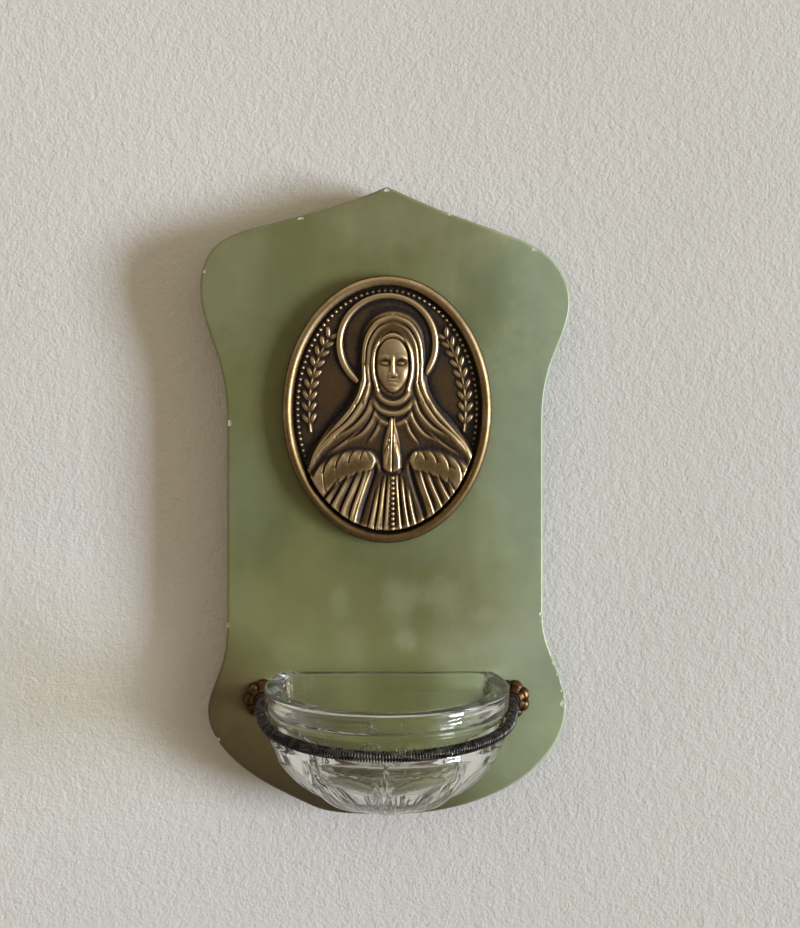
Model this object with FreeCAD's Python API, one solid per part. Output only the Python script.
import FreeCAD, Part
import math
import os

# Wall-hung holy water stoup: an onyx plaque with an oval bronze relief medallion, and a half-round
# pressed-glass bowl held against the plaque by a coil spring between two brass rosettes.
#
# Millimetres. +Z up, +X to the viewer's right, +Y into the wall, so the front faces -Y.
# The origin is the centre of the round entry of the hanger's keyhole, on the wall plane y = 0.
# "Depth" below always means the distance in front of the plaque's front face.

Vector = FreeCAD.Vector

# --- plaque -------------------------------------------------------------------------------------
PLAQUE_THICKNESS = 9.0
PLAQUE_EDGE_CHAMFER = 0.6
PEAK_RISE = 22.2              # pointed top above the origin
BODY_DROP = 158.8             # lowest edge below the origin
PEAK_SLOPE_HALF_WIDTH = 14.2  # end of the steep part of the point
PEAK_SLOPE_RISE = 16.0
BROW_HALF_WIDTH = 34.0        # where the ogee turns into the shoulder
BROW_RISE = 8.7
SHOULDER_HALF_WIDTH = 52.9
SHOULDER_DROP = 9.8
SHOULDER_FULLNESS = 0.74      # how far out the corner stands between brow and shoulder
CORNER_DEPTH = 0.42           # how far down it stands between them
NECK_WIDTH = 0.36             # how much of the shoulder's width is left halfway to the waist
WAIST_HALF_WIDTH = 45.1
WAIST_TOP_DROP = 46.0
WAIST_BOTTOM_RISE = 57.8      # this and the rises below are above the lowest edge
FLARE_WIDTH = 0.53            # how much of the way out to the hips the flare has gone
FLARE_RISE = 43.8
HIP_HALF_WIDTH = 51.7
HIP_RISE = 30.3
HEEL_INSET = 9.1              # rounded lower corner, inboard of the hips
HEEL_RISE = 13.4
BELLY_INSET = 25.7            # on the shallow bottom curve, inboard of the hips
BELLY_RISE = 4.0
LEFT_PEAK_LIFT = 1.0          # the hand-cut left side stands this much higher beside the point
LEFT_SHOULDER_LIFT = 2.8      # and this much at the brow and shoulder
LEFT_SWELL = 1.1              # wider at the shoulder and waist
LEFT_FULLNESS = 0.84          # with a squarer corner
LEFT_FOOT_TRIM = 1.1          # and narrower at the foot's flare and heel

# --- wall gap, pads and hanger ------------------------------------------------------------------
WALL_CLEARANCE = 0.1          # between the wall and the deepest stud
PAD_DIAMETER = 12.0
PAD_UPPER_INSET = 13.9        # pad centre inboard of the shoulder
PAD_UPPER_DROP = 8.0
PAD_LOWER_INSET = 13.7        # inboard of the hips
PAD_WASHER_GAP = 0.5          # between a lower pad and the post's washer
HANGER_WIDTH = 14.0
HANGER_THICKNESS = 1.2
HANGER_TOP_RISE = 10.5
HANGER_TAIL = 7.0             # plate below and above its fixing hole, before it is cranked
HANGER_CORNER = 3.0
NAIL_ENTRY_RADIUS = 3.5
NAIL_SLOT_WIDTH = 3.2
NAIL_SLOT_RISE = 5.0          # centre of the slot's round end above the entry's centre

# --- thread hardware, shared by the medallion studs and the spring posts --------------------------
THREAD_DIAMETER = 3.0
SHANK_CLEARANCE = 0.2         # radial, in the stone and in plates
THREAD_FIT = 0.05             # radial, between a thread and its nut or boss
WASHER_DIAMETER = 7.0
WASHER_THICKNESS = 0.8
NUT_ACROSS_FLATS = 5.5
NUT_HEIGHT = 2.4
STUD_OVERRUN = 0.5            # thread showing past a nut

# --- medallion ----------------------------------------------------------------------------------
MEDAL_WIDTH = 60.0
MEDAL_HEIGHT = 76.6
MEDAL_CENTRE_DROP = 41.8
MEDAL_RIM_WIDTH = 2.9
MEDAL_RIM_HEIGHT = 4.0
MEDAL_RIM_ROUND = 1.1
MEDAL_FIELD_HEIGHT = 2.0
MEDAL_STUD_SPACING = 44.0
MEDAL_BOSS_DEPTH = 1.6        # blind thread in the back of the casting
HALO_RADIUS = 14.6
HALO_WIDTH = 1.7
HALO_PROUD = 0.9
HALO_RISE = 18.8              # halo centre above the medallion's centre
HEAD_OFFSET = 1.8
HEAD_RISE = 15.0
HEAD_HALF_WIDTH = 9.2
HEAD_HALF_HEIGHT = 13.0
HEAD_PROUD = 2.1
FACE_DROP = 2.5
FACE_HALF_WIDTH = 5.6
FACE_HALF_HEIGHT = 8.2
FACE_PROUD = 2.6
VEIL_DROP = 1.0               # the veil's fall from the head onto the shoulders
VEIL_HALF_WIDTH = 13.5
VEIL_HALF_HEIGHT = 14.0
VEIL_PROUD = 1.7
CLOAK_DROP = 25.0
CLOAK_HALF_WIDTH = 24.5
CLOAK_HALF_HEIGHT = 26.0
CLOAK_PROUD = 1.8
SLEEVE_OFFSET = 9.5
SLEEVE_DROP = 19.0
SLEEVE_HALF_WIDTH = 5.5
SLEEVE_HALF_LENGTH = 10.5
SLEEVE_PROUD = 2.2
SLEEVE_LEAN = 38.0            # degrees
HANDS_DROP = 11.0
HANDS_HALF_WIDTH = 3.0
HANDS_HALF_HEIGHT = 6.8
HANDS_PROUD = 2.6

# --- glass bowl ---------------------------------------------------------------------------------
BOWL_RADIUS = 33.8
BOWL_AXIS_DEPTH = 15.7        # axis of the round front in front of the plaque
BOWL_RIM_RISE = 41.8          # rim above the plaque's lowest edge
BOWL_HEIGHT = 32.8
BOWL_COLLAR_HEIGHT = 5.6
BOWL_WALL = 4.6
BOWL_BACK_WALL = 5.0
BOWL_FLOOR = 4.6
BOWL_FLOOR_INSET = 0.6        # the hollow's flat bottom ends this far inside the foot
BOWL_GROOVE_DEPTH = 1.35
BOWL_GROOVE_HEIGHT = 5.0
BOWL_BEAD_INSET = 0.9
BOWL_BEAD_HEIGHT = 1.6
BOWL_FOOT_RADIUS = 10.0
BOWL_BELLY_SWELL = 4.4        # how far the lower curve bulges off a straight line
BOWL_HOLLOW_SWELL = 3.6       # the hollow's lower curve runs a wall's thickness inside the belly
BOWL_EDGE_ROUND = 1.1
BOWL_DRAFT = 0.6              # the hollow is this much narrower where its floor curve begins
FLUTE_COUNT = 9
FLUTE_TOOL_RADIUS = 40.0
FLUTE_DEPTH = 1.1

# --- rosettes, posts and spring -------------------------------------------------------------------
POST_OUTSET = 1.75            # post centre beside the bowl's widest place
POST_DROP = 1.35              # post centre below the groove's upper edge
PETAL_COUNT = 8
PETAL_RADIUS = 1.9
PETAL_PITCH_RADIUS = 3.8
PETAL_CENTRE_DEPTH = 0.2
RIGHT_ROSETTE_TURN = 22.5     # degrees from the left one, half a petal
ROSETTE_HUB_RADIUS = 3.3
ROSETTE_HUB_HEIGHT = 3.0
POST_COLLAR_RADIUS = 2.3
POST_COLLAR_HEIGHT = 1.2
POST_COLLAR_SINK = 0.9        # the collar seats this deep in the rosette's hub
SPIGOT_LENGTH = 4.4
SPIGOT_FIT = 0.04             # radial, inside the coil
SPRING_WIRE = 0.6
SPRING_OUTER_RADIUS = 1.55
SPRING_GLASS_GAP = 0.3
SPRING_BEND_RADIUS = 26.0     # where the spring turns in towards the glass
SPRING_DIP_RADIUS = 40.0      # where it turns down off the spigot

# --- derived places -------------------------------------------------------------------------------
WALL_GAP = HANGER_THICKNESS + WASHER_THICKNESS + NUT_HEIGHT + STUD_OVERRUN + WALL_CLEARANCE
PLAQUE_BACK_Y = -WALL_GAP
PLAQUE_FRONT_Y = PLAQUE_BACK_Y - PLAQUE_THICKNESS
PLAQUE_BOTTOM_Z = -BODY_DROP
MEDAL_CENTRE_Z = -MEDAL_CENTRE_DROP
MEDAL_FIELD_Y = PLAQUE_FRONT_Y - MEDAL_FIELD_HEIGHT
UPPER_STUD_Z = MEDAL_CENTRE_Z + MEDAL_STUD_SPACING / 2
LOWER_STUD_Z = MEDAL_CENTRE_Z - MEDAL_STUD_SPACING / 2
SHANK_RADIUS = THREAD_DIAMETER / 2
SHANK_HOLE_RADIUS = SHANK_RADIUS + SHANK_CLEARANCE
THREADED_HOLE_RADIUS = SHANK_RADIUS + THREAD_FIT
BOWL_AXIS_Y = PLAQUE_FRONT_Y - BOWL_AXIS_DEPTH
BOWL_GROOVE_RADIUS = BOWL_RADIUS - BOWL_GROOVE_DEPTH
BOWL_BEAD_RADIUS = BOWL_RADIUS - BOWL_BEAD_INSET
RIM_Z = PLAQUE_BOTTOM_Z + BOWL_RIM_RISE
FOOT_Z = RIM_Z - BOWL_HEIGHT
COLLAR_Z = RIM_Z - BOWL_COLLAR_HEIGHT
GROOVE_TOP_Z = COLLAR_Z - BOWL_GROOVE_DEPTH
GROOVE_BOTTOM_Z = GROOVE_TOP_Z - BOWL_GROOVE_HEIGHT
BEAD_Z = GROOVE_BOTTOM_Z - BOWL_BEAD_HEIGHT
POST_X = BOWL_RADIUS + POST_OUTSET
POST_Z = GROOVE_TOP_Z - POST_DROP
SPRING_FRONT_Z = GROOVE_BOTTOM_Z + SPRING_OUTER_RADIUS + SPRING_GLASS_GAP
SPRING_LOOP_RADIUS = BOWL_GROOVE_RADIUS + SPRING_OUTER_RADIUS + SPRING_GLASS_GAP
SPRING_BORE_RADIUS = SPRING_OUTER_RADIUS - SPRING_WIRE
POST_COLLAR_BACK_DEPTH = ROSETTE_HUB_HEIGHT - POST_COLLAR_SINK
SPRING_START_DEPTH = POST_COLLAR_BACK_DEPTH + POST_COLLAR_HEIGHT
MARGIN = 1.0                  # how far a cutting tool runs past what it cuts
SAME_PLACE = 0.001            # edges this near a plane count as lying on it


def at_depth(x, depth, z):
    """A point given by its depth in front of the plaque."""
    return Vector(x, PLAQUE_FRONT_Y - depth, z)


def rod(radius, y_from, y_to, x=0.0, z=0.0):
    """A cylinder along Y between two y places."""
    low = min(y_from, y_to)
    return Part.makeCylinder(radius, abs(y_to - y_from), Vector(x, low, z), Vector(0, 1, 0))


def ellipsoid(half_x, half_y, half_z, centre, lean=0.0):
    """A sphere stretched along the axes, then leaned about Y."""
    stretch = FreeCAD.Matrix()
    stretch.scale(half_x, half_y, half_z)
    ball = Part.makeSphere(1.0, Vector(0, 0, 0), Vector(0, 1, 0))
    shape = ball.transformGeometry(stretch)
    shape.rotate(Vector(0, 0, 0), Vector(0, 1, 0), lean)
    shape.translate(centre)
    return shape


def washer(x, z, back_y):
    """A plain washer whose front face is at back_y, on the stone or on a plate."""
    outer = rod(WASHER_DIAMETER / 2, back_y, back_y + WASHER_THICKNESS, x, z)
    return outer.cut(rod(SHANK_HOLE_RADIUS, back_y - MARGIN, back_y + WASHER_THICKNESS + MARGIN, x, z))


def nut(x, z, seat_y):
    """A hexagon nut that sits on seat_y and stands towards the wall."""
    corner_radius = NUT_ACROSS_FLATS / 2 / math.cos(math.pi / 6)
    corners = []
    for step in range(7):
        turn = step * math.pi / 3
        corners.append(Vector(x + corner_radius * math.cos(turn), seat_y, z + corner_radius * math.sin(turn)))
    body = Part.Face(Part.makePolygon(corners)).extrude(Vector(0, NUT_HEIGHT, 0))
    return body.cut(rod(THREADED_HOLE_RADIUS, seat_y - MARGIN, seat_y + NUT_HEIGHT + MARGIN, x, z))


# --- plaque ---------------------------------------------------------------------------------------
def plaque_side(side):
    """Outline points of one side, from just below the point down to the belly."""
    left = side < 0
    peak_lift = LEFT_PEAK_LIFT if left else 0.0
    lift = LEFT_SHOULDER_LIFT if left else 0.0
    swell = LEFT_SWELL if left else 0.0
    trim = LEFT_FOOT_TRIM if left else 0.0
    fullness = LEFT_FULLNESS if left else SHOULDER_FULLNESS
    brow_z = BROW_RISE + lift
    shoulder_x = SHOULDER_HALF_WIDTH + swell
    shoulder_z = lift - SHOULDER_DROP
    waist_x = WAIST_HALF_WIDTH + swell
    corner_x = BROW_HALF_WIDTH + fullness * (shoulder_x - BROW_HALF_WIDTH)
    corner_z = brow_z + CORNER_DEPTH * (shoulder_z - brow_z)
    neck_x = waist_x + NECK_WIDTH * (shoulder_x - waist_x)
    neck_z = (shoulder_z - WAIST_TOP_DROP) / 2
    flare_x = WAIST_HALF_WIDTH + FLARE_WIDTH * (HIP_HALF_WIDTH - WAIST_HALF_WIDTH)
    foot_z = PLAQUE_BOTTOM_Z
    places = [
        (PEAK_SLOPE_HALF_WIDTH, PEAK_SLOPE_RISE + peak_lift),
        (BROW_HALF_WIDTH, brow_z),
        (corner_x, corner_z),
        (shoulder_x, shoulder_z),
        (neck_x, neck_z),
        (waist_x, -WAIST_TOP_DROP),
        (waist_x, foot_z + WAIST_BOTTOM_RISE),
        (flare_x - trim, foot_z + FLARE_RISE),
        (HIP_HALF_WIDTH, foot_z + HIP_RISE),
        (HIP_HALF_WIDTH - HEEL_INSET - trim, foot_z + HEEL_RISE),
        (HIP_HALF_WIDTH - BELLY_INSET - trim, foot_z + BELLY_RISE),
    ]
    return [Vector(side * x, 0, z) for x, z in places]


def curve_through(points, start_tangent, end_tangent):
    spline = Part.BSplineCurve()
    spline.interpolate(Points=points, InitialTangent=start_tangent, FinalTangent=end_tangent)
    return spline.toShape()


def plaque_outline():
    """Ogee top, straight waist and rounded foot: curves joined by the two straight waist edges."""
    down = Vector(0, 0, -1)
    peak = Vector(0, 0, PEAK_RISE)
    bottom = Vector(0, 0, PLAQUE_BOTTOM_Z)
    edges = []
    for side in (1, -1):
        points = plaque_side(side)
        upper = points[:6]
        lower = points[6:]
        slope = Vector(side * PEAK_SLOPE_HALF_WIDTH, 0, PEAK_SLOPE_RISE - PEAK_RISE)
        edges.append(curve_through([peak] + upper, slope, down))
        edges.append(Part.makeLine(upper[-1], lower[0]))
        edges.append(curve_through(lower + [bottom], down, Vector(-side, 0, 0)))
    return Part.Wire(Part.__sortEdges__(edges))


def onyx_plaque():
    outline = plaque_outline()
    outline.translate(Vector(0, PLAQUE_BACK_Y, 0))
    slab = Part.Face(outline).extrude(Vector(0, -PLAQUE_THICKNESS, 0))
    front_edges = [edge for edge in slab.Edges if edge.BoundBox.YMax < PLAQUE_FRONT_Y + SAME_PLACE]
    slab = slab.makeChamfer(PLAQUE_EDGE_CHAMFER, front_edges)
    holes = [(0, UPPER_STUD_Z), (0, LOWER_STUD_Z), (-POST_X, POST_Z), (POST_X, POST_Z)]
    for x, z in holes:
        hole = rod(SHANK_HOLE_RADIUS, PLAQUE_FRONT_Y - MARGIN, PLAQUE_BACK_Y + MARGIN, x, z)
        slab = slab.cut(hole)
    return slab


# --- medallion ------------------------------------------------------------------------------------
def oval(width, height, back_y, front_y):
    """An upright elliptical disc between two y places, centred on the medallion."""
    ellipse = Part.Ellipse(Vector(0, 0, 0), height / 2, width / 2)
    face = Part.Face(Part.Wire(ellipse.toShape()))
    disc = face.extrude(Vector(0, 0, back_y - front_y))
    disc.rotate(Vector(0, 0, 0), Vector(0, 0, 1), 90)
    disc.rotate(Vector(0, 0, 0), Vector(1, 0, 0), 90)
    disc.translate(Vector(0, back_y, MEDAL_CENTRE_Z))
    return disc


def relief_form(x, rise, half_width, half_height, proud, lean=0.0):
    """A low rounded form on the medallion's field."""
    centre = Vector(x, MEDAL_FIELD_Y, MEDAL_CENTRE_Z + rise)
    return ellipsoid(half_width, proud, half_height, centre, lean)


def medallion():
    back_y = PLAQUE_FRONT_Y
    rim_y = back_y - MEDAL_RIM_HEIGHT
    body = oval(MEDAL_WIDTH, MEDAL_HEIGHT, back_y, rim_y)
    rim_edges = [edge for edge in body.Edges if edge.BoundBox.YMax < rim_y + SAME_PLACE]
    body = body.makeFillet(MEDAL_RIM_ROUND, rim_edges)
    inner_width = MEDAL_WIDTH - 2 * MEDAL_RIM_WIDTH
    inner_height = MEDAL_HEIGHT - 2 * MEDAL_RIM_WIDTH
    well = oval(inner_width, inner_height, MEDAL_FIELD_Y, rim_y - MARGIN)
    body = body.cut(well)
    halo_z = MEDAL_CENTRE_Z + HALO_RISE
    halo = rod(HALO_RADIUS, MEDAL_FIELD_Y, MEDAL_FIELD_Y - HALO_PROUD, 0, halo_z)
    halo = halo.cut(rod(HALO_RADIUS - HALO_WIDTH, MEDAL_FIELD_Y + MARGIN, rim_y - MARGIN, 0, halo_z))
    face_rise = HEAD_RISE - FACE_DROP
    forms = [
        halo,
        relief_form(HEAD_OFFSET, HEAD_RISE, HEAD_HALF_WIDTH, HEAD_HALF_HEIGHT, HEAD_PROUD),
        relief_form(HEAD_OFFSET, face_rise, FACE_HALF_WIDTH, FACE_HALF_HEIGHT, FACE_PROUD),
        relief_form(HEAD_OFFSET / 2, -VEIL_DROP, VEIL_HALF_WIDTH, VEIL_HALF_HEIGHT, VEIL_PROUD),
        relief_form(0, -CLOAK_DROP, CLOAK_HALF_WIDTH, CLOAK_HALF_HEIGHT, CLOAK_PROUD),
        relief_form(0, -HANDS_DROP, HANDS_HALF_WIDTH, HANDS_HALF_HEIGHT, HANDS_PROUD),
    ]
    for side in (1, -1):
        forms.append(relief_form(side * SLEEVE_OFFSET, -SLEEVE_DROP, SLEEVE_HALF_WIDTH,
                                 SLEEVE_HALF_LENGTH, SLEEVE_PROUD, side * SLEEVE_LEAN))
    inside_rim = oval(inner_width + MEDAL_RIM_WIDTH, inner_height + MEDAL_RIM_WIDTH, MEDAL_FIELD_Y,
                      MEDAL_FIELD_Y - MEDAL_RIM_HEIGHT)
    relief = forms[0].multiFuse([form.common(inside_rim) for form in forms[1:]])
    body = body.fuse(relief).removeSplitter()
    for z in (UPPER_STUD_Z, LOWER_STUD_Z):
        body = body.cut(rod(THREADED_HOLE_RADIUS, back_y + MARGIN, back_y - MEDAL_BOSS_DEPTH, 0, z))
    return body


def medallion_stud(z, seat_y):
    """A threaded stud from its blind hole in the casting to just past its nut."""
    tail_y = seat_y + WASHER_THICKNESS + NUT_HEIGHT + STUD_OVERRUN
    return rod(SHANK_RADIUS, PLAQUE_FRONT_Y - MEDAL_BOSS_DEPTH, tail_y, 0, z)


# --- hanger ---------------------------------------------------------------------------------------
def hanger_plate():
    """Cranked brass strip: its foot lies on the stone, its keyhole leaf on the wall plane."""
    foot_z = UPPER_STUD_Z - HANGER_TAIL
    leaf_front_y = -HANGER_THICKNESS
    foot_back_y = PLAQUE_BACK_Y + HANGER_THICKNESS
    crank_low_z = UPPER_STUD_Z + HANGER_TAIL
    crank_high_z = crank_low_z - foot_back_y
    lean = HANGER_THICKNESS * math.tan(math.pi / 8)
    side = [
        (PLAQUE_BACK_Y, foot_z),
        (PLAQUE_BACK_Y, crank_low_z + lean),
        (leaf_front_y, crank_high_z + lean),
        (leaf_front_y, HANGER_TOP_RISE),
        (0.0, HANGER_TOP_RISE),
        (0.0, crank_high_z),
        (foot_back_y, crank_low_z),
        (foot_back_y, foot_z),
    ]
    points = [Vector(-HANGER_WIDTH / 2, y, z) for y, z in side]
    plate = Part.Face(Part.makePolygon(points + [points[0]])).extrude(Vector(HANGER_WIDTH, 0, 0))
    ends = (foot_z, HANGER_TOP_RISE)
    corners = []
    for edge in plate.Edges:
        box = edge.BoundBox
        at_end = min(abs(box.ZMin - ends[0]), abs(box.ZMax - ends[1])) < SAME_PLACE
        if at_end and box.ZLength < SAME_PLACE and box.XLength < SAME_PLACE:
            corners.append(edge)
    plate = plate.makeFillet(HANGER_CORNER, corners)
    entry = rod(NAIL_ENTRY_RADIUS, leaf_front_y - MARGIN, MARGIN)
    slot_half = NAIL_SLOT_WIDTH / 2
    slot_end = rod(slot_half, leaf_front_y - MARGIN, MARGIN, 0, NAIL_SLOT_RISE)
    slot = Part.makeBox(NAIL_SLOT_WIDTH, HANGER_THICKNESS + 2 * MARGIN, NAIL_SLOT_RISE,
                        Vector(-slot_half, leaf_front_y - MARGIN, 0))
    fixing = rod(SHANK_HOLE_RADIUS, PLAQUE_BACK_Y - MARGIN, foot_back_y + MARGIN, 0, UPPER_STUD_Z)
    return plate.cut(entry.multiFuse([slot_end, slot])).cut(fixing)


def pad(x, z):
    """A felt disc between the plaque's back and the wall."""
    return rod(PAD_DIAMETER / 2, PLAQUE_BACK_Y, 0, x, z)


# --- glass bowl -----------------------------------------------------------------------------------
def turned(edges):
    """The solid swept by a closed outline in the XZ plane, turned about the bowl's upright axis."""
    solid = Part.Face(Part.Wire(edges)).revolve(Vector(0, 0, 0), Vector(0, 0, 1), 360)
    solid.translate(Vector(0, BOWL_AXIS_Y, 0))
    return solid


def chain(points):
    """Line edges through (radius, z) points."""
    places = [Vector(radius, 0, z) for radius, z in points]
    return [Part.makeLine(a, b) for a, b in zip(places, places[1:])]


def bulged(start, end, swell):
    """An arc between two (radius, z) points that bulges outward and down by swell at its middle."""
    a = Vector(start[0], 0, start[1])
    b = Vector(end[0], 0, end[1])
    outward = (b - a).cross(Vector(0, 1, 0)).normalize()
    middle = (a + b) * 0.5 + outward * swell
    return Part.Arc(a, middle, b).toShape()


def bowl_outside():
    belly_start = (BOWL_BEAD_RADIUS, BEAD_Z)
    belly_end = (BOWL_FOOT_RADIUS, FOOT_Z)
    edges = chain([(0, FOOT_Z), (0, RIM_Z), (BOWL_RADIUS, RIM_Z), (BOWL_RADIUS, COLLAR_Z),
                   (BOWL_GROOVE_RADIUS, GROOVE_TOP_Z), (BOWL_GROOVE_RADIUS, GROOVE_BOTTOM_Z), belly_start])
    edges.append(bulged(belly_start, belly_end, BOWL_BELLY_SWELL))
    edges.extend(chain([belly_end, (0, FOOT_Z)]))
    return turned(edges)


def bowl_hollow():
    mouth = BOWL_RADIUS - BOWL_WALL
    floor_z = FOOT_Z + BOWL_FLOOR
    curve_start = (mouth - BOWL_DRAFT, GROOVE_BOTTOM_Z)
    curve_end = (BOWL_FOOT_RADIUS - BOWL_FLOOR_INSET, floor_z)
    edges = chain([(0, floor_z), (0, RIM_Z + MARGIN), (mouth, RIM_Z + MARGIN), (mouth, RIM_Z), curve_start])
    edges.append(bulged(curve_start, curve_end, BOWL_HOLLOW_SWELL))
    edges.extend(chain([curve_end, (0, floor_z)]))
    hollow = turned(edges)
    back_face = PLAQUE_FRONT_Y - BOWL_BACK_WALL
    reach = 2 * BOWL_RADIUS
    front_half = Part.makeBox(2 * reach, reach + BOWL_AXIS_DEPTH, BOWL_HEIGHT + 2 * MARGIN,
                              Vector(-reach, back_face - reach - BOWL_AXIS_DEPTH, FOOT_Z))
    return hollow.common(front_half)


def flute_cutter(turn):
    """A round tool laid along the belly's slope, so that it takes a leaf-shaped shallow facet."""
    start = Vector(0, -BOWL_BEAD_RADIUS, BEAD_Z)
    end = Vector(0, -BOWL_FOOT_RADIUS, FOOT_Z)
    along = (end - start).normalize()
    outward = along.cross(Vector(1, 0, 0)).normalize()
    if outward.z > 0:
        outward = outward * -1
    middle = (start + end) * 0.5
    offset = BOWL_BELLY_SWELL - FLUTE_DEPTH + FLUTE_TOOL_RADIUS
    length = 2 * BOWL_RADIUS
    base = middle + outward * offset - along * (length / 2)
    tool = Part.makeCylinder(FLUTE_TOOL_RADIUS, length, base, along)
    tool.rotate(Vector(0, 0, 0), Vector(0, 0, 1), turn)
    tool.translate(Vector(0, BOWL_AXIS_Y, 0))
    return tool


def glass_bowl():
    outside = bowl_outside()
    step = 360.0 / FLUTE_COUNT
    for index in range(FLUTE_COUNT):
        outside = outside.cut(flute_cutter((index + 0.5) * step))
    reach = 2 * BOWL_RADIUS
    front_half = Part.makeBox(2 * reach, reach + BOWL_AXIS_DEPTH, BOWL_HEIGHT + 2 * MARGIN,
                              Vector(-reach, PLAQUE_FRONT_Y - reach - BOWL_AXIS_DEPTH, FOOT_Z - MARGIN))
    body = outside.common(front_half).cut(bowl_hollow())
    rim_edges = [edge for edge in body.Edges if edge.BoundBox.ZMin > RIM_Z - SAME_PLACE]
    return body.makeFillet(BOWL_EDGE_ROUND, rim_edges)


# --- rosettes and posts ---------------------------------------------------------------------------
def rosette(x, first_turn):
    """An eight-petalled cast flower that seats on the stone, its hub counterbored for the post."""
    centre = at_depth(x, 0, POST_Z)
    body = rod(ROSETTE_HUB_RADIUS, centre.y, centre.y - ROSETTE_HUB_HEIGHT, x, POST_Z)
    for index in range(PETAL_COUNT):
        turn = math.radians(first_turn) + index * 2 * math.pi / PETAL_COUNT
        petal_x = x + PETAL_PITCH_RADIUS * math.cos(turn)
        petal_z = POST_Z + PETAL_PITCH_RADIUS * math.sin(turn)
        body = body.fuse(Part.makeSphere(PETAL_RADIUS, at_depth(petal_x, PETAL_CENTRE_DEPTH, petal_z)))
    size = 4 * (PETAL_PITCH_RADIUS + PETAL_RADIUS)
    behind = Part.makeBox(size, size, size, centre - Vector(size / 2, 0, size / 2))
    bore = rod(SHANK_HOLE_RADIUS, centre.y + MARGIN, centre.y - size, x, POST_Z)
    seat_y = centre.y - POST_COLLAR_BACK_DEPTH
    seat = rod(POST_COLLAR_RADIUS + SHANK_CLEARANCE, seat_y, centre.y - size, x, POST_Z)
    return body.cut(behind).cut(bore).cut(seat).removeSplitter()


def post(x):
    """Threaded shank through the stone, a collar on the rosette, and a spigot for the spring's end."""
    tail_y = PLAQUE_BACK_Y + WASHER_THICKNESS + NUT_HEIGHT + STUD_OVERRUN
    collar_back_y = PLAQUE_FRONT_Y - POST_COLLAR_BACK_DEPTH
    collar_front_y = collar_back_y - POST_COLLAR_HEIGHT
    shank = rod(SHANK_RADIUS, collar_back_y, tail_y, x, POST_Z)
    collar = rod(POST_COLLAR_RADIUS, collar_back_y, collar_front_y, x, POST_Z)
    spigot_radius = SPRING_BORE_RADIUS - SPIGOT_FIT
    spigot = rod(spigot_radius, collar_front_y, collar_front_y - SPIGOT_LENGTH, x, POST_Z)
    return shank.multiFuse([collar, spigot])


# --- spring ---------------------------------------------------------------------------------------
def spring_path():
    """Centre line, right half from the post to the front, in path order with its mirror image.

    Off the spigot it dips onto a tilted plane, turns in towards the glass and follows the groove.
    Plane points are (x, run), run measured forward from the end of the dip.
    """
    spigot_end = SPRING_START_DEPTH + SPIGOT_LENGTH
    front_depth = BOWL_AXIS_DEPTH + SPRING_LOOP_RADIUS
    tilt = math.atan2(POST_Z - SPRING_FRONT_Z, front_depth - spigot_end)
    dip_forward = SPRING_DIP_RADIUS * math.sin(tilt)
    dip_drop = SPRING_DIP_RADIUS * (1 - math.cos(tilt))
    plane_depth = spigot_end + dip_forward
    plane_z = POST_Z - dip_drop

    def on_plane(x, run):
        return at_depth(x, plane_depth + run * math.cos(tilt), plane_z - run * math.sin(tilt))

    half_tilt = tilt / 2
    dip_middle = at_depth(POST_X, spigot_end + SPRING_DIP_RADIUS * math.sin(half_tilt),
                          POST_Z - SPRING_DIP_RADIUS * (1 - math.cos(half_tilt)))
    axis_run = (BOWL_AXIS_DEPTH - plane_depth) / math.cos(tilt)
    # The turn-in arc starts at the plane's edge, heading forward, and its centre is inboard of the
    # post. The straight tangent runs from it to the loop's circle; both curve the same way.
    turn_centre_x = POST_X - SPRING_BEND_RADIUS
    gap = math.hypot(turn_centre_x, axis_run)
    lean = math.atan2(turn_centre_x, axis_run)
    swing = math.asin((SPRING_LOOP_RADIUS - SPRING_BEND_RADIUS) / gap)
    heading = lean - swing

    def off_centre(centre_x, centre_run, radius, angle):
        return on_plane(centre_x + radius * math.cos(angle), centre_run + radius * math.sin(angle))

    start = at_depth(POST_X, SPRING_START_DEPTH, POST_Z)
    spigot_point = at_depth(POST_X, spigot_end, POST_Z)
    turn_start = on_plane(POST_X, 0)
    turn_middle = off_centre(turn_centre_x, 0, SPRING_BEND_RADIUS, heading / 2)
    turn_end = off_centre(turn_centre_x, 0, SPRING_BEND_RADIUS, heading)
    loop_start = off_centre(0, axis_run, SPRING_LOOP_RADIUS, heading)
    loop_front = on_plane(0, axis_run + SPRING_LOOP_RADIUS)
    half = [
        Part.makeLine(start, spigot_point),
        Part.Arc(spigot_point, dip_middle, turn_start).toShape(),
        Part.Arc(turn_start, turn_middle, turn_end).toShape(),
        Part.makeLine(turn_end, loop_start),
    ]
    mirrored = [edge.mirror(Vector(0, 0, 0), Vector(1, 0, 0)) for edge in half]
    loop_end = Vector(-loop_start.x, loop_start.y, loop_start.z)
    loop = Part.Arc(loop_start, loop_front, loop_end).toShape()
    return half + [loop] + mirrored[::-1]


def swept(edges, radius):
    """A round bar along joined line and arc edges, fused from one straight or bent bar per edge."""
    bars = []
    for edge in edges:
        start = edge.valueAt(edge.FirstParameter)
        tangent = edge.tangentAt(edge.FirstParameter)
        section = Part.Wire(Part.makeCircle(radius, start, tangent))
        bars.append(Part.Wire(edge).makePipeShell([section], True, True))
    return bars[0].multiFuse(bars[1:]).removeSplitter()


def retaining_spring():
    """The close-wound coil as a tube of the coil's outer and inner diameters."""
    edges = spring_path()
    return swept(edges, SPRING_OUTER_RADIUS).cut(swept(edges, SPRING_BORE_RADIUS))


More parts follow.
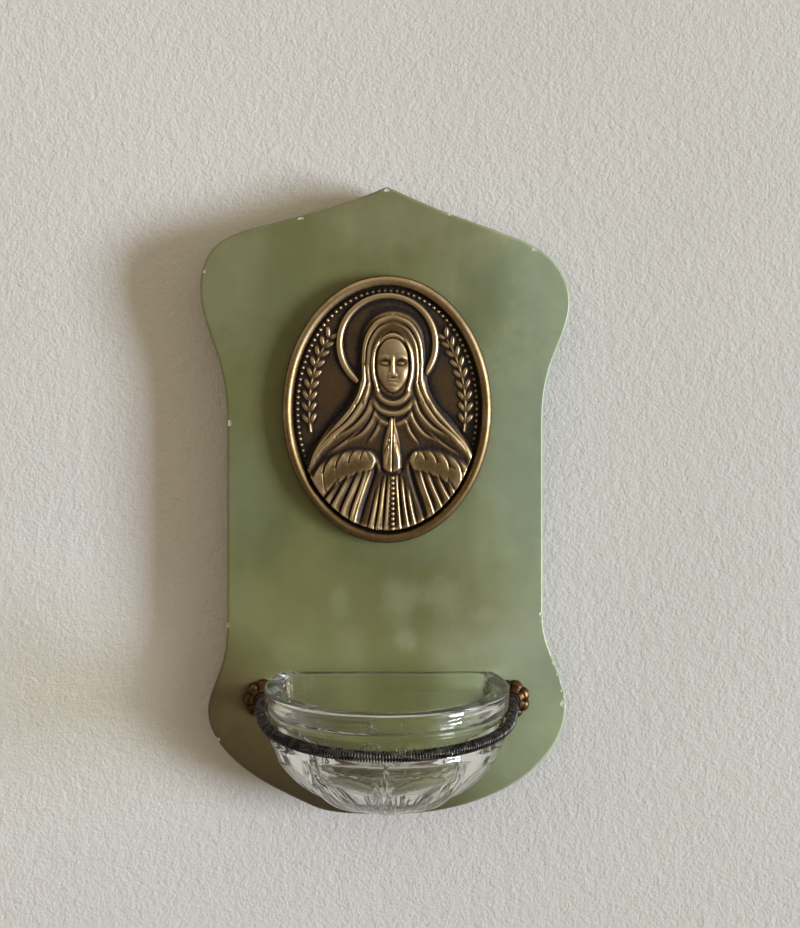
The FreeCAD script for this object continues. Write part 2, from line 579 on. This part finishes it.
# --- assembly -------------------------------------------------------------------------------------
def build_nodes():
    upper_seat_y = PLAQUE_BACK_Y + HANGER_THICKNESS
    pad_upper_x = SHOULDER_HALF_WIDTH - PAD_UPPER_INSET
    pad_lower_x = HIP_HALF_WIDTH - PAD_LOWER_INSET
    pad_lower_z = POST_Z - WASHER_DIAMETER / 2 - PAD_WASHER_GAP - PAD_DIAMETER / 2
    nodes = {
        "onyx_plaque": onyx_plaque(),
        "medallion": medallion(),
        "medallion_stud_upper": medallion_stud(UPPER_STUD_Z, upper_seat_y),
        "medallion_stud_lower": medallion_stud(LOWER_STUD_Z, PLAQUE_BACK_Y),
        "medallion_washer_upper": washer(0, UPPER_STUD_Z, upper_seat_y),
        "medallion_washer_lower": washer(0, LOWER_STUD_Z, PLAQUE_BACK_Y),
        "medallion_nut_upper": nut(0, UPPER_STUD_Z, upper_seat_y + WASHER_THICKNESS),
        "medallion_nut_lower": nut(0, LOWER_STUD_Z, PLAQUE_BACK_Y + WASHER_THICKNESS),
        "hanger_plate": hanger_plate(),
        "glass_bowl": glass_bowl(),
        "retaining_spring": retaining_spring(),
    }
    for side, name, rosette_turn in ((-1, "left", 0.0), (1, "right", RIGHT_ROSETTE_TURN)):
        x = side * POST_X
        nodes["post_" + name] = post(x)
        nodes["rosette_" + name] = rosette(x, rosette_turn)
        nodes["post_washer_" + name] = washer(x, POST_Z, PLAQUE_BACK_Y)
        nodes["post_nut_" + name] = nut(x, POST_Z, PLAQUE_BACK_Y + WASHER_THICKNESS)
        nodes["pad_upper_" + name] = pad(side * pad_upper_x, -PAD_UPPER_DROP)
        nodes["pad_lower_" + name] = pad(side * pad_lower_x, pad_lower_z)
    return nodes


def main():
    os.makedirs("parts", exist_ok=True)
    for name, shape in build_nodes().items():
        shape.exportStep("parts/" + name + ".step")
        box = shape.BoundBox
        print("%-24s solids %d valid %s volume %9.1f  x %.2f..%.2f  y %.2f..%.2f  z %.2f..%.2f" % (
            name, len(shape.Solids), shape.isValid(), shape.Volume,
            box.XMin, box.XMax, box.YMin, box.YMax, box.ZMin, box.ZMax))


main()
